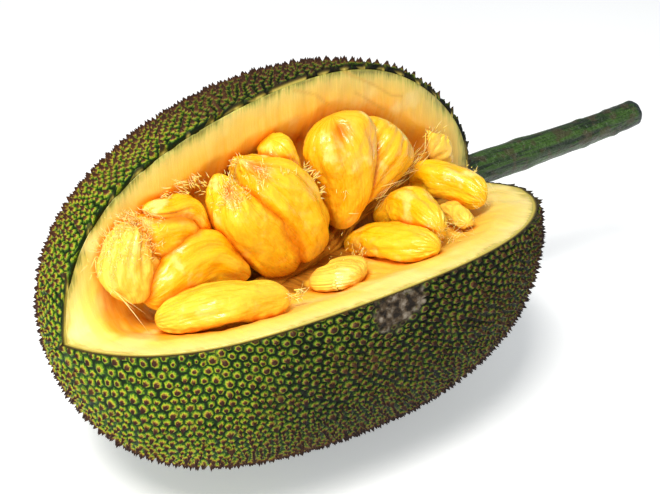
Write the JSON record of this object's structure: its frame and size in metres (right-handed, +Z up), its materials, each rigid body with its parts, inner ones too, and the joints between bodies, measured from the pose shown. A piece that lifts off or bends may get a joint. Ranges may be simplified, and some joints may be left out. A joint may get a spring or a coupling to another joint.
{
  "type": "cut jackfruit",
  "caption": "Ripe jackfruit lying on its side with a long wedge cut out, showing yellow bulbs, fibrous core, pale flesh, spiny green skin and its stem.",
  "frame": {"origin": "middle of the flat spot under the fruit that it rests on", "axes": "+Z up, +X along the fruit's long axis towards the stem, -Y towards the side with the cut"},
  "size_m": [0.5079, 0.2503, 0.2345],
  "materials": {
    "skin": "matt green spines with brown tips",
    "flesh": "moist pale yellow cut flesh",
    "bulb": "moist smooth orange yellow",
    "core": "fibrous tan brown",
    "stem": "smooth dark green with grey brown mottling"
  },
  "bodies": {
    "root": {"skin": "skin", "flesh": "flesh", "core": "core", "stem": "stem", "bulb_left_front": "bulb", "bulb_centre_left": "bulb", "bulb_centre_right": "bulb", "bulb_upper_right": "bulb", "bulb_upper_left": "bulb", "bulb_small_back": "bulb", "bulb_left_back": "bulb", "bulb_frayed": "bulb", "bulb_front_long": "bulb", "bulb_right_front": "bulb", "bulb_right_rear": "bulb", "bulb_stem_side": "bulb", "bulb_rim_small": "bulb", "bulb_fibrous": "bulb", "flap_left": "bulb", "flap_notch": "bulb"}
  },
  "joints": []
}
